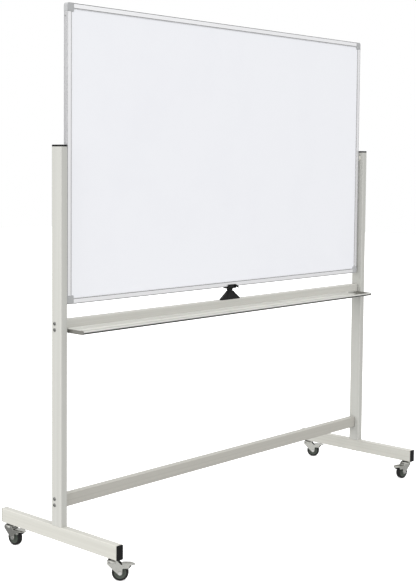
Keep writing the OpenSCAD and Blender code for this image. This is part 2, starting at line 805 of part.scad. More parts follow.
post_left();
post_right();
foot_left();
foot_right();
post_caps();
foot_end_caps();
lower_crossbar();
upper_crossbar();
crossbar_inserts();
crossbar_bolts();
post_base_inserts();
foot_bolts();
marker_tray();
tray_edge_strip();
tray_end_cap_left();
tray_end_cap_right();
tray_screws();
pivot_bushes();
latch_bracket();
latch_screws();
castor_stems();
castor_nuts();
writing_surface_front();
writing_surface_rear();
board_core();
frame_rail_top();
frame_rail_bottom();
frame_rail_left();
frame_rail_right();
corner_cap_top_left();
corner_cap_top_right();
corner_cap_bottom_left();
corner_cap_bottom_right();
frame_screws();
pivot_blocks();
pivot_bolts();
pivot_spacers();
latch_slider();
latch_spring();
fork_front_left();
fork_front_right();
fork_rear_left();
fork_rear_right();
axle_front_left();
axle_front_right();
axle_rear_left();
axle_rear_right();
brake_pedal_front_left();
brake_pedal_front_right();
brake_pedal_rear_left();
brake_pedal_rear_right();
hub_front_left();
hub_front_right();
hub_rear_left();
hub_rear_right();
tyre_front_left();
tyre_front_right();
tyre_rear_left();
tyre_rear_right();
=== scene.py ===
"""A rolling whiteboard: finishes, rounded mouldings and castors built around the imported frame. Metres."""
import json
import math

import bmesh
import bpy
import numpy as np
from mathutils import Matrix, Vector


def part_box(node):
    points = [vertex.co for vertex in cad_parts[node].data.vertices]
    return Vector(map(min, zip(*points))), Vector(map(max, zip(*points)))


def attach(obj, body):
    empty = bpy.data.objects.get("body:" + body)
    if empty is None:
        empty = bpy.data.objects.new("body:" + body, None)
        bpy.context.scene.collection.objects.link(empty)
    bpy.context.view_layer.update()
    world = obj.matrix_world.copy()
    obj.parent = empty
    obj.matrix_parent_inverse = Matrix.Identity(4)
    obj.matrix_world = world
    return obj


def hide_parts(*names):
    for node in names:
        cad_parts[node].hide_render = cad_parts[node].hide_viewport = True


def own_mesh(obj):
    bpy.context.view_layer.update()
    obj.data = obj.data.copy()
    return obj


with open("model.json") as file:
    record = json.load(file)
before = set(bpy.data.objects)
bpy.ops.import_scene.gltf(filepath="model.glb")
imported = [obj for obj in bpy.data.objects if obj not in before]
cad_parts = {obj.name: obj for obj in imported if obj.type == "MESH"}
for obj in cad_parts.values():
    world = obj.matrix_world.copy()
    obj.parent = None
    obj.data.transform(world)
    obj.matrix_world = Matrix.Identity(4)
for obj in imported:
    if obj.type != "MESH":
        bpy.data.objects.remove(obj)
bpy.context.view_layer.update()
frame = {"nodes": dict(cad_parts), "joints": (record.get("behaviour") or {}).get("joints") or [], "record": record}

MM = 0.001
MERGE = 2e-6                               # vertices closer than this are one
TAU = 2 * math.pi
X, Y, Z = np.eye(3)
LEFT, RIGHT = -1, 1
FRONT, REAR = -1, 1
CASTORS = ("front_left", "front_right", "rear_left", "rear_right")
JOINTS = {j["name"]: j for j in frame["joints"]}


# ---------------------------------------------------------------- camera and light

EYE = Vector((-3.0849, -2.7014, 1.2322))   # beyond and above the front left castor
LOOK_TURN = math.radians(42.31)            # from +X towards +Y
LOOK_DOWN = math.radians(3.787)
LOOK_ROLL = math.radians(0.509)
LENS_MM = 72.06
LENS_RISE = -0.0899                        # keeps the uprights almost parallel
SENSOR_MM = 36


def stand_camera():
    """The camera: looks along the turn and tilt above, its right axis level apart from the roll."""
    data = bpy.data.cameras.new("camera")
    data.lens = LENS_MM
    data.sensor_width = SENSOR_MM
    data.shift_y = LENS_RISE
    data.clip_end = 60
    camera = bpy.data.objects.new("camera", data)
    bpy.context.scene.collection.objects.link(camera)
    ahead = Vector((math.cos(LOOK_TURN) * math.cos(LOOK_DOWN),
                    math.sin(LOOK_TURN) * math.cos(LOOK_DOWN), -math.sin(LOOK_DOWN)))
    right = ahead.cross(Vector((0, 0, 1))).normalized()
    up = right.cross(ahead)
    turned_right = right * math.cos(LOOK_ROLL) + up * math.sin(LOOK_ROLL)
    turned_up = up * math.cos(LOOK_ROLL) - right * math.sin(LOOK_ROLL)
    camera.matrix_world = Matrix.Translation(EYE) @ Matrix(
        (turned_right, turned_up, -ahead)).transposed().to_4x4()
    bpy.context.scene.camera = camera


def soft_box(name, place, aim, size, watts):
    """A square area light at place, facing aim, that makes no highlight of its own."""
    data = bpy.data.lights.new(name, "AREA")
    data.energy = watts
    data.size = size
    lamp = bpy.data.objects.new(name, data)
    bpy.context.scene.collection.objects.link(lamp)
    lamp.location = place
    lamp.visible_glossy = False
    lamp.rotation_euler = (Vector(aim) - Vector(place)).to_track_quat("-Z", "Y").to_euler()


SKY_MEAN = 1.05                        # ambient light, averaged all round
SKY_SLOPE = (-0.38, -0.2, 0.7)         # how it rises to the left, the front and the top
SKY_LEAST = 0.05
SHADE_WAY = (-0.74, 0.67, 0.0)         # towards a dark screen behind the left end
SHADE_DEPTH, SHADE_TIGHT = 0.75, 6
BACKDROP_WHITE = 1.0                   # what the camera sees behind it all
LAMP_PLACE, LAMP_AIM = (-5.2, 0.3, 1.3), (0, 0, 0.8)
LAMP_SIZE, LAMP_WATTS = 2.6, 105
FLOOR_HALF = 14.0


# ---------------------------------------------------------------- shader maths

class Val:
    """A value inside a finish. Arithmetic on it, from either side, adds a Math node."""

    def __init__(self, nodes, link):
        self.nodes = nodes
        self.link = link

    def __add__(self, other):
        return self.nodes.maths("ADD", self, other)

    def __radd__(self, other):
        return self.nodes.maths("ADD", other, self)

    def __sub__(self, other):
        return self.nodes.maths("SUBTRACT", self, other)

    def __rsub__(self, other):
        return self.nodes.maths("SUBTRACT", other, self)

    def __mul__(self, other):
        return self.nodes.maths("MULTIPLY", self, other)

    def __rmul__(self, other):
        return self.nodes.maths("MULTIPLY", other, self)

    def __pow__(self, other):
        return self.nodes.maths("POWER", self, other)


class Nodes:
    """A node tree under construction."""

    def __init__(self, tree):
        self.tree = tree

    def add(self, kind, settings, sockets, output=0):
        """Makes a node: its settings and ramp stops first, then the values or links of its sockets."""
        node = self.tree.nodes.new("ShaderNode" + kind)
        for key, value in settings.items():
            if key == "stops":
                self.set_stops(node.color_ramp, value)
            else:
                setattr(node, key, value)
        for key, value in sockets.items():
            self.feed(node.inputs[key], value)
        return Val(self, node.outputs[output])

    @staticmethod
    def set_stops(ramp, stops):
        while len(ramp.elements) < len(stops):
            ramp.elements.new(0.5)
        for element, (position, level) in zip(ramp.elements, stops):
            element.position = position
            element.color = (level, level, level, 1)

    def feed(self, socket, value):
        if isinstance(value, Val):
            self.tree.links.new(value.link, socket)
        else:
            socket.default_value = value

    def maths(self, operation, first, second):
        return self.add("Math", {"operation": operation}, {0: first, 1: second})


class Finish(Nodes):
    """A material under construction on Object coordinates, which are the object's own metres."""

    def __init__(self, name):
        self.material = bpy.data.materials.new(name)
        self.material.use_nodes = True
        super().__init__(self.material.node_tree)
        self.shader = self.tree.nodes["Principled BSDF"]
        self.place = self.add("TexCoord", {}, {}, "Object")

    def stretched(self, sx, sy, sz):
        """The place with each axis multiplied, which draws a pattern out along the smallest of them."""
        return self.add("VectorMath", {"operation": "MULTIPLY"}, {0: self.place, 1: (sx, sy, sz)})

    def noise(self, scale, detail=3.0, roughness=0.55, vector=None):
        return self.add("TexNoise", {}, {"Vector": vector or self.place, "Scale": scale,
                                         "Detail": detail, "Roughness": roughness}, "Fac")

    def cells(self, scale):
        return self.add("TexVoronoi", {}, {"Vector": self.place, "Scale": scale}, "Distance")

    def along(self, axis):
        return self.add("SeparateXYZ", {}, {0: self.place}, axis)

    def ramp(self, value, *stops):
        """value through a ramp of (position, grey level) stops."""
        return self.add("ValToRGB", {"stops": stops}, {"Fac": value}, "Color")

    def between(self, low, high, value):
        """value, 0 to 1, spread from low to high."""
        return value * (high - low) + low

    def blend(self, mask, first, second):
        """The colour first where mask is 0 and second where it is 1."""
        return self.add("Mix", {"data_type": "RGBA"}, {0: mask, 6: first, 7: second}, 2)

    def bump(self, height, depth, strength):
        """A normal bent by height, which stands for depth metres."""
        return self.add("Bump", {}, {"Height": height, "Distance": depth, "Strength": strength})

    def set(self, **sockets):
        """Feeds the surface shader: keys are socket names with underscores for spaces."""
        for key, value in sockets.items():
            self.feed(self.shader.inputs[key.replace("_", " ")], value)
        return self.material


def rgb(red, green, blue):
    """A display colour, 0 to 255 each, as linear light."""
    c = np.array([red, green, blue]) / 255
    linear = np.where(c <= 0.04045, c / 12.92, ((c + 0.055) / 1.055) ** 2.4)
    return (*[float(v) for v in linear], 1.0)


# ---------------------------------------------------------------- finishes

def pale_floor():
    """Seamless studio paper that glows a little, so that it stays white around the stand."""
    f = Finish("pale_floor")
    haze = f.noise(0.8, 2)
    return f.set(Base_Color=f.blend(haze, rgb(246, 246, 246), rgb(250, 250, 250)), Roughness=0.9,
                 Specular_IOR_Level=0.0, Emission_Color=(1, 1, 1, 1), Emission_Strength=0.42)


def white_enamel():
    """Porcelain-smooth enamel: faint wipe marks in the gloss and a trace of old marker in the colour."""
    f = Finish("white_enamel")
    wiped = f.noise(2.2, 4, 0.6, f.stretched(1.0, 1.0, 3.5))
    ghost = f.ramp(f.noise(3.1, 5, 0.62), (0.48, 0), (0.78, 1))
    ripple = f.noise(60, 1.5)
    colour = f.blend(ghost * 0.5, rgb(223, 224, 228), rgb(218, 219, 224))
    return f.set(Base_Color=colour, Roughness=f.between(0.24, 0.42, wiped),
                 Normal=f.bump(ripple, 0.00001, 0.3), Coat_Weight=0.15, Coat_Roughness=0.12,
                 Specular_IOR_Level=0.4)


def drawn_out(finish, along, fine, coarse, detail=3):
    """Noise drawn out along one axis: coarse per metre along it and fine per metre across it."""
    steps = [coarse if axis == along else fine for axis in range(3)]
    return finish.noise(1.0, detail, 0.6, finish.stretched(*steps))


def groove_shade_mask(finish):
    """1 where the frame's sunk lines get painted shade: more than a quarter of a millimetre behind its
    faces and more than half a millimetre inside its outer edges. 0 elsewhere."""
    low = np.array(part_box("frame_rail_left")[0])
    high = np.array(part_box("frame_rail_right")[1])
    low[2], high[2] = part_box("frame_rail_bottom")[0][2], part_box("frame_rail_top")[1][2]
    inside = 1
    for axis, margin in enumerate((0.0005, 0.00025, 0.0005)):
        middle, half = (low[axis] + high[axis]) / 2, (high[axis] - low[axis]) / 2
        away = finish.maths("ABSOLUTE", finish.along(axis) - middle, 0)
        inside = finish.maths("LESS_THAN", away, half - margin) * inside
    return inside


def drawn_aluminium(name, along, deep, pale, shade_in_lines=False):
    """Satin anodised extrusion with fine draw lines running along one axis, and painted shade, a dull
    dark grey, in the sunk lines of a lined one."""
    f = Finish(name)
    lines = drawn_out(f, along, 2600, 3.0)
    cloud = f.noise(5, 3)
    colour = f.blend(f.ramp(cloud, (0.4, 0), (0.75, 1)) * 0.4, f.blend(lines, deep, pale), deep)
    metal = 1.0
    if shade_in_lines:
        # Painted shade: the sunk lines are coloured dark grey and not metallic, standing in for the shade inside
        # them.
        groove_shade = groove_shade_mask(f)
        colour = f.blend(groove_shade, colour, rgb(104, 105, 106))
        metal = 1 - groove_shade
    return f.set(Base_Color=colour, Metallic=metal, Roughness=f.between(0.34, 0.5, lines),
                 Normal=f.bump(lines, 0.000012, 0.5))


def powder_coat(name, along, light, deep):
    """Light grey powder coat over drawn tube: orange peel, dust nibs, and faint streaks of the
    tube's own draw lines along its length."""
    f = Finish(name)
    peel = f.noise(520, 2, 0.5)
    nibs = f.ramp(f.cells(300), (0.03, 1), (0.09, 0))
    haze = f.noise(6, 4)
    streaks = f.ramp(drawn_out(f, along, 170, 0.6, 2), (0.35, 0), (0.65, 1))
    streaked = f.blend(f.maths("MAXIMUM", streaks * 0.5, haze * 0.4), light, deep)
    height = peel + nibs * 0.5 + streaks * 0.3
    return f.set(Base_Color=streaked, Roughness=f.between(0.36, 0.52, haze),
                 Normal=f.bump(height, 0.00004, 0.55), Specular_IOR_Level=0.45)


def moulded(name, colour, grain, rough, scale=1500, gloss=0.45):
    """Injection-moulded plastic with a spark-eroded grain and slightly polished patches."""
    f = Finish(name)
    pits = f.noise(scale, 2, 0.6)
    rubbed = f.ramp(f.noise(24, 3), (0.45, 0), (0.75, 1))
    darker = [c * 0.8 for c in colour[:3]] + [1]
    return f.set(Base_Color=f.blend(pits * 0.7, colour, darker),
                 Roughness=f.between(rough, rough - 0.12, rubbed),
                 Normal=f.bump(pits, grain, 0.6), Specular_IOR_Level=gloss)


def zinc(name, colour, rough=0.3):
    """Bright zinc plate: crystalline clouding, fine scratches, slightly uneven gloss."""
    f = Finish(name)
    clouds = f.noise(130, 4, 0.65)
    scratches = f.noise(1.0, 3, 0.6, f.stretched(2200, 1400, 260))
    tint = [c * 0.82 for c in colour[:3]] + [1]
    return f.set(Base_Color=f.blend(clouds, colour, tint), Metallic=1.0,
                 Roughness=f.between(rough - 0.08, rough + 0.14, clouds),
                 Normal=f.bump(scratches, 0.000015, 0.4))


def tyre_rubber():
    """Dark rubber with floor dust in its grain."""
    f = Finish("tyre_rubber")
    grain = f.noise(900, 3, 0.6)
    dust = f.ramp(f.noise(90, 4), (0.5, 0), (0.8, 1))
    return f.set(Base_Color=f.blend(dust * 0.4, rgb(23, 23, 23), rgb(52, 51, 49)),
                 Roughness=f.between(0.62, 0.8, grain), Normal=f.bump(grain, 0.00005, 0.5),
                 Specular_IOR_Level=0.25)


def fibreboard():
    """Brown pressed fibre, its strands drawn out along the board."""
    f = Finish("fibreboard")
    fibre = f.noise(1.0, 4, 0.6, f.stretched(300, 900, 300))
    return f.set(Base_Color=f.blend(fibre, rgb(160, 128, 92), rgb(122, 94, 62)), Roughness=0.85,
                 Normal=f.bump(fibre, 0.0001, 0.5))


FINISHES = {
    "white_enamel": white_enamel(),
    "rail_along_x": drawn_aluminium("rail_along_x", 0, rgb(232, 232, 234), rgb(245, 245, 246), shade_in_lines=True),
    "rail_along_z": drawn_aluminium("rail_along_z", 2, rgb(228, 228, 230), rgb(241, 241, 242), shade_in_lines=True),
    "tray_aluminium": drawn_aluminium("tray_aluminium", 0, rgb(216, 216, 212), rgb(230, 230, 226)),
    # One grey powder coat in four tones, one per part: the differences between the tones are painted light and
    # shade, and the lower crossbar's darker tone is painted shade.
    "post_paint_painted_shading": powder_coat("post_paint_painted_shading", 2, rgb(180, 180, 175), rgb(164, 164, 159)),
    "foot_paint_painted_shading": powder_coat("foot_paint_painted_shading", 1, rgb(187, 186, 179), rgb(171, 170, 163)),
    "upper_bar_paint_painted_shading": powder_coat("upper_bar_paint_painted_shading", 0, rgb(186, 185, 179), rgb(168, 167, 161)),
    "lower_bar_paint_painted_shade": powder_coat("lower_bar_paint_painted_shade", 0, rgb(170, 168, 161), rgb(152, 150, 143)),
    "black_plastic": moulded("black_plastic", rgb(15, 15, 16), 0.00003, 0.52, gloss=0.2),
    "insert_plastic": moulded("insert_plastic", rgb(60, 60, 60), 0.00003, 0.55),
    "grey_plastic": moulded("grey_plastic", rgb(166, 167, 168), 0.00002, 0.42),
    # The tray's edge strip, near black: its darkness is painted shade under the rolled lip.
    "dark_strip": moulded("dark_strip", rgb(50, 49, 46), 0.00003, 0.5, gloss=0.25),
    # The end caps' own grey plastic, darkened further as painted shade from the post beside each tray end.
    "tray_end_plastic_shaded": moulded("tray_end_plastic_shaded", rgb(112, 111, 106), 0.00002, 0.45),
    "nylon": moulded("nylon", rgb(226, 223, 212), 0.00002, 0.45),
    "hub_plastic": moulded("hub_plastic", rgb(70, 76, 69), 0.00003, 0.42, gloss=0.3),
    "zinc_steel": zinc("zinc_steel", rgb(196, 196, 194)),
    "black_steel": zinc("black_steel", rgb(62, 62, 62), 0.4),
    "dark_zinc": zinc("dark_zinc", rgb(140, 140, 138), 0.3),
    "castor_steel": zinc("castor_steel", rgb(178, 178, 173), 0.2),
    "tyre_rubber": tyre_rubber(),
    "core_board": fibreboard(),
}


# ---------------------------------------------------------------- surfaces

def unit(vectors):
    """Each row scaled to length 1."""
    return vectors / np.linalg.norm(vectors, axis=-1, keepdims=True)


def filleted(corners, steps=6):
    """An outline with every corner (x, y, radius) rounded. The arc's centre lies on the corner's
    bisector at radius / sin(half angle), and the arc turns from one edge's foot to the next's."""
    corner = np.array(corners, float)
    at, radius = corner[:, :2], corner[:, 2:]
    back = unit(np.roll(at, 1, axis=0) - at)
    ahead = unit(np.roll(at, -1, axis=0) - at)
    half = np.arccos(np.clip((back * ahead).sum(axis=1, keepdims=True), -1, 1)) / 2
    centre = at + unit(back + ahead) * radius / np.sin(half)
    start = at + back * radius / np.tan(half) - centre
    end = at + ahead * radius / np.tan(half) - centre
    first = np.arctan2(start[:, 1], start[:, 0])
    sweep = (np.arctan2(end[:, 1], end[:, 0]) - first + np.pi) % TAU - np.pi
    turn = first[:, None] + sweep[:, None] * np.linspace(0, 1, steps + 1)
    arcs = centre[:, None, :] + radius[:, None] * np.stack((np.cos(turn), np.sin(turn)), axis=-1)
    return arcs.reshape(-1, 2)


def outward(outline):
    """Normals of an outline drawn anticlockwise: the mean of the two neighbouring edges' normals."""
    edge = unit(np.roll(outline, -1, axis=0) - outline)
    normal = np.stack((edge[:, 1], -edge[:, 0]), axis=-1)
    return unit(normal + np.roll(normal, 1, axis=0))


def anticlockwise(outline):
    """The outline, reversed if its shoelace area is negative."""
    x, y = outline.T
    area = (x * np.roll(y, -1) - y * np.roll(x, -1)).sum()
    return outline if area > 0 else outline[::-1]


def skin(grid, ends=True):
    """Quads over a grid of points, rows by columns, with the last column joined to the first.
    With ends, one flat face closes the first row and one the last."""
    rows, columns = grid.shape[:2]
    index = np.arange(rows * columns).reshape(rows, columns)
    beside = np.roll(index, -1, axis=1)
    quads = np.stack((index[:-1], beside[:-1], beside[1:], index[1:]), axis=-1)
    faces = quads.reshape(-1, 4).tolist()
    if ends:
        faces += [index[0, ::-1].tolist(), index[-1].tolist()]
    return grid.reshape(-1, 3), faces


def placed(a, b, h, axes):
    """Points from three coordinates: origin + a * A + b * B + h * H for axes (origin, A, B, H)."""
    origin, along_a, along_b, along_h = (np.asarray(v, float) for v in axes)
    return (origin + a[..., None] * along_a + b[..., None] * along_b + h[..., None] * along_h) * MM


def prism(outline, low, high, rim, axes, steps=4):
    """An outline carried from low to high. Near each end it draws in along its own normals by
    rim * (1 - cos t) as the height closes on the end by rim * sin t, for t to a quarter turn, and
    one more ring lies flat on the end."""
    outline = anticlockwise(np.asarray(outline))
    normal = outward(outline)
    turn = np.linspace(0, np.pi / 2, steps + 1)
    draw = np.append(rim * (1 - np.cos(turn)), rim * 1.3)
    rise = np.append(rim * (1 - np.sin(turn)), 0)
    inset = np.concatenate((draw[::-1], draw))
    height = np.concatenate((low + rise[::-1], high - rise))
    ring = outline[None] - normal[None] * inset[:, None, None]
    return skin(placed(ring[..., 0], ring[..., 1], np.broadcast_to(height[:, None], ring.shape[:2]), axes))


def lathe(profile, axes, sides=64):
    """A profile of (radius, along) points turned about H: radius * cos t along A, radius * sin t
    along B. The profile starts and ends on the axis, or ends where it starts."""
    radius, along = np.asarray(profile, float).T
    turn = np.linspace(0, TAU, sides, endpoint=False)
    return skin(placed(radius[:, None] * np.cos(turn), radius[:, None] * np.sin(turn),
                       np.broadcast_to(along[:, None], (len(radius), sides)), axes), ends=False)


def ring_profile(corners):
    """A filleted profile that ends where it starts, for a lathe."""
    outline = filleted(corners)
    return np.vstack((outline, outline[:1]))


def piping(outline, radius, height, axes, sides=10):
    """A round bead on a closed outline: radius * cos t out along the outline's normal and
    height + radius * sin t along H."""
    outline = anticlockwise(np.asarray(outline))
    outline = np.vstack((outline, outline[:1]))
    normal = outward(outline[:-1])
    normal = np.vstack((normal, normal[:1]))
    turn = np.linspace(0, TAU, sides, endpoint=False)
    ring = outline[:, None, :] + normal[:, None, :] * (radius * np.cos(turn))[None, :, None]
    rise = np.broadcast_to(height + radius * np.sin(turn), ring.shape[:2])
    return skin(placed(ring[..., 0], ring[..., 1], rise, axes), ends=False)


def rounded_rectangle(width, height, radius):
    """The corners of a rectangle about the origin, all with one radius."""
    w, h = width / 2, height / 2
    return [(-w, -h, radius), (w, -h, radius), (w, h, radius), (-w, h, radius)]


def mirrored(half):
    """A symmetrical list of corners: the given ones and, in reverse order, their reflections in x."""
    return list(half) + [(-x, y, r) for x, y, r in reversed(half)]


def piece(name, shapes, finish, body, replaces=(), smooth=32):
    """One object from closed shapes: doubles merged, normals recalculated outwards, edges sharper
    than smooth degrees left crisp, and shading normals that follow the larger faces."""
    vertices, faces, count = [], [], 0
    for points, polygons in shapes:
        vertices.append(points)
        faces += [[k + count for k in polygon] for polygon in polygons]
        count += len(points)
    mesh = bpy.data.meshes.new(name)
    mesh.from_pydata(np.vstack(vertices).tolist(), [], faces)
    work = bmesh.new()
    work.from_mesh(mesh)
    bmesh.ops.remove_doubles(work, verts=work.verts, dist=MERGE)
    bmesh.ops.recalc_face_normals(work, faces=work.faces)
    work.to_mesh(mesh)
    work.free()
    mesh.polygons.foreach_set("use_smooth", np.ones(len(mesh.polygons), bool))
    mesh.set_sharp_from_angle(angle=math.radians(smooth))
    mesh.materials.append(FINISHES[finish])
    new = bpy.data.objects.new(name, mesh)
    bpy.context.scene.collection.objects.link(new)
    new.modifiers.new("flat faces stay flat", "WEIGHTED_NORMAL").keep_sharp = True
    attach(new, body)
    if replaces:
        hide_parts(*replaces)
    return new


def corners_of(node):
    """The lowest and highest corner of a node, in millimetres."""
    low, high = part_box(node)
    return np.array(low) / MM, np.array(high) / MM


# ---------------------------------------------------------------- board

LINE_W, LINE_D = 1.9, 0.8           # drawn lines in the frame extrusion


def rail_profile(thickness, face):
    """The frame's section in (across, inwards): a channel whose web is the outer edge. Both flanges
    have a sunk line by the outer edge and another behind the lip that meets the enamel; the web has
    one near each side."""
    t = thickness / 2
    wall = 1.38

    def line(at):
        """The four corners of a line that starts at depth at, on the flange t."""
        return [(t, at, 0.2), (t - LINE_D, at + 0.3, 0.2), (t - LINE_D, at + LINE_W - 0.3, 0.2),
                (t, at + LINE_W, 0.2)]

    web = [(t - 4.3, 0, 0.2), (t - 4, LINE_D, 0.2), (t - 3.3, LINE_D, 0.2), (t - 3, 0, 0.2)]
    lip = face - 1.2
    half = (web + [(t, 0, 0.9)] + line(1.1) + line(lip - LINE_W)
            + [(t, face, 0.5), (t - wall, face, 0.2), (t - wall, wall, 0.4)])
    return filleted(mirrored(half), steps=3)


def frame_rails():
    """The four rails, each the section carried along its edge."""
    for side, inwards, along in (("top", -Z, X), ("bottom", Z, X), ("left", X, Z), ("right", -X, Z)):
        node = "frame_rail_" + side
        low, high = corners_of(node)
        across = high - low
        outer = low if inwards.sum() > 0 else high
        face = abs(across @ inwards)
        axes = (outer * abs(inwards), Y, inwards, along)
        section = rail_profile(across[1], face)
        finish = "rail_along_x" if along is X else "rail_along_z"
        piece("rail_" + side, [prism(section, low @ along, high @ along, 0.15, axes, steps=2)],
              finish, "board", [node])


def corner_caps():
    """Moulded corners: a rounded block over the ends of two rails, with a slightly raised pad on
    both faces."""
    side, pad, pad_rise, pad_root = 27, 3.4, 0.3, 1
    for level, up in (("top", -Z), ("bottom", Z)):
        for way, inwards in (("left", X), ("right", -X)):
            node = "corner_cap_%s_%s" % (level, way)
            low, high = corners_of(node)
            corner = np.where(inwards + up > 0, low, high) * (X + Z)
            axes = (corner, inwards, up, Y)
            outline = filleted([(0, 0, 8), (side, 0, 1.2), (side, side, 3), (0, side, 1.2)])
            inner = filleted([(pad, pad, 5.5), (side - pad, pad, 1.2), (side - pad, side - pad, 1.8),
                              (pad, side - pad, 1.2)])
            body = prism(outline, low[1], high[1], 1.3, axes)
            pads = [prism(inner, high[1] - pad_root, high[1] + pad_rise, 0.35, axes),
                    prism(inner, low[1] - pad_rise, low[1] + pad_root, 0.35, axes)]
            piece("corner_%s_%s" % (level, way), [body] + pads, "grey_plastic", "board",
                  [node])


# ---------------------------------------------------------------- stand

PLUG_CORNER = 2.6                   # corner radius of a plug's head
PLUG_WALL = 4                       # how much narrower a plug is than its head
PLUG_ROOT = 1                       # how far it reaches into its head
PLUG_RIM = 0.4                      # how far its ends are rounded


def post_caps():
    """Plugs on the post tops: a rounded rectangle with a soft rim, and the plug below it."""
    low, high = corners_of("post_caps")
    post_low, post_high = corners_of("post_left")
    width, depth = (post_high - post_low)[:2]
    top = post_high[2]
    crown, rim = 1.8, 1.6
    head = filleted(rounded_rectangle(width, depth, PLUG_CORNER))
    plug = filleted(rounded_rectangle(width - PLUG_WALL, depth - PLUG_WALL, 1))
    shapes = []
    for side in (LEFT, RIGHT):
        axes = ((side * (high[0] - width / 2), 0, 0), X, Y, Z)
        shapes.append(prism(head, top, high[2] + crown, rim, axes))
        shapes.append(prism(plug, low[2], top + PLUG_ROOT, PLUG_RIM, axes))
    piece("post_top_caps", shapes, "black_plastic", "stand", ["post_caps"])


def foot_caps():
    """Plugs in the feet's ends: a rounded plate with a row of shallow ribs across it."""
    low, high = corners_of("foot_end_caps")
    foot_low, foot_high = corners_of("foot_left")
    width, _, height = foot_high - foot_low
    tube_end = foot_high[1]
    middle_z = (foot_low[2] + foot_high[2]) / 2
    ribs, rib_w, rib_rise, plug_depth = 7, 2.6, 0.6, 12
    head = filleted(rounded_rectangle(width, height, PLUG_CORNER))
    plug = filleted(rounded_rectangle(width - PLUG_WALL, height - PLUG_WALL, 1))
    rib = filleted(rounded_rectangle(width - 6, rib_w, 1.2))
    shapes = []
    for side in (LEFT, RIGHT):
        for end in (FRONT, REAR):
            axes = ((side * (high[0] - width / 2), 0, middle_z), X, Z, end * Y)
            shapes.append(prism(head, tube_end, high[1] - rib_rise, 1.2, axes))
            shapes.append(prism(plug, tube_end - plug_depth, tube_end + PLUG_ROOT, PLUG_RIM, axes))
            for k in range(ribs):
                rise = (k - (ribs - 1) / 2) * height / (ribs + 1)
                rib_axes = (axes[0] + rise * Z, X, Z, end * Y)
                shapes.append(prism(rib, tube_end + PLUG_ROOT, high[1], 0.5, rib_axes, steps=3))
    piece("foot_plugs", shapes, "black_plastic", "stand", ["foot_end_caps"])


def tray():
    """The marker tray: flange, floor with three fine ridges and rolled lip, as one section carried
    along X, and its two end caps. The groove in the lip takes the edge strip's own node."""
    low, high = corners_of("marker_tray")
    strip_low, strip_high = corners_of("tray_edge_strip")
    front, back, floor = low[1], high[1], low[2]
    wall, lip, roll, slack = 1.8, 10, 1.45, 0.1
    groove_back = strip_high[1] + 0.15
    groove_low, groove_high = strip_low[2] - slack, strip_high[2] + slack
    ridge_rise = 0.5
    ridges = [front + 14 + 3 * k for k in range(3)]
    ridge_corners = [corner for at in reversed(ridges) for corner in
                     ((at + 0.9, floor + wall, 0.3), (at + 0.25, floor + wall + ridge_rise, 0.2),
                      (at - 0.25, floor + wall + ridge_rise, 0.2), (at - 0.9, floor + wall, 0.3))]
    section = filleted(
        [(back, floor, 0.4), (back, high[2], 0.4), (back - wall, high[2], 0.6),
         (back - wall, floor + wall, 2.2)]
        + ridge_corners
        + [(front + 2 * roll + 0.1, floor + wall, 1.8), (front + 2 * roll, floor + lip, roll * 0.95),
           (front, floor + lip, roll * 0.95), (front, groove_high, 0.3), (groove_back, groove_high, 0.15),
           (groove_back, groove_low, 0.15), (front, groove_low, 0.2), (front, floor, 0.4)], steps=4)
    axes = ((0, 0, 0), Y, Z, X)
    piece("tray_extrusion", [prism(section, low[0], high[0], 0.1, axes, steps=2)],
          "tray_aluminium", "stand", ["marker_tray"])
    for name in ("left", "right"):
        node = "tray_end_cap_" + name
        low, high = corners_of(node)
        outline = filleted([(low[1], low[2], 3.2), (high[1], low[2], 1), (high[1], high[2], 1.5),
                            (low[1], high[2], 4)])
        piece("tray_end_" + name, [prism(outline, low[0], high[0], 1.1, axes)],
              "tray_end_plastic_shaded", "stand", [node])


def latch_housing():
    """The latch's black housing: a gabled plate, and on both faces a bead round the edge and two
    guide ribs beside the neck."""
    low, high = corners_of("latch_bracket")
    half_w, height = high[0], high[2] - low[2]
    half_top, plate, bead = 17.5, 5.4, 1.05
    axes = ((0, 0, low[2]), X, Z, Y)
    outline = filleted(mirrored([(half_w, 0, 1.2), (half_w, 4, 2.5), (half_top, height - 3, 5),
                                 (half_top - 1.5, height, 1.2)]))
    rim = filleted(mirrored([(half_w - 2.2, 1.6, 1), (half_w - 2.8, 3.4, 1.5),
                             (half_top - 1.6, height - 4.4, 3.5), (half_top - 3.4, height - 2, 1)]))
    shapes = [prism(outline, -plate, plate, 0.9, axes)]
    for face in (FRONT, REAR):
        shapes.append(piping(rim, bead, face * (plate - 0.05), axes))
        for side in (LEFT, RIGHT):
            rib = [(side * 15.2, 3.5, 0.7), (side * 17.2, 3.5, 0.7), (side * 14.6, height - 3, 0.7),
                   (side * 12.8, height - 3, 0.7)]
            shapes.append(prism(filleted(rib), face * plate - 1, face * plate + 1, 0.5, axes, steps=3))
    piece("latch_housing", shapes, "black_plastic", "stand", ["latch_bracket"])


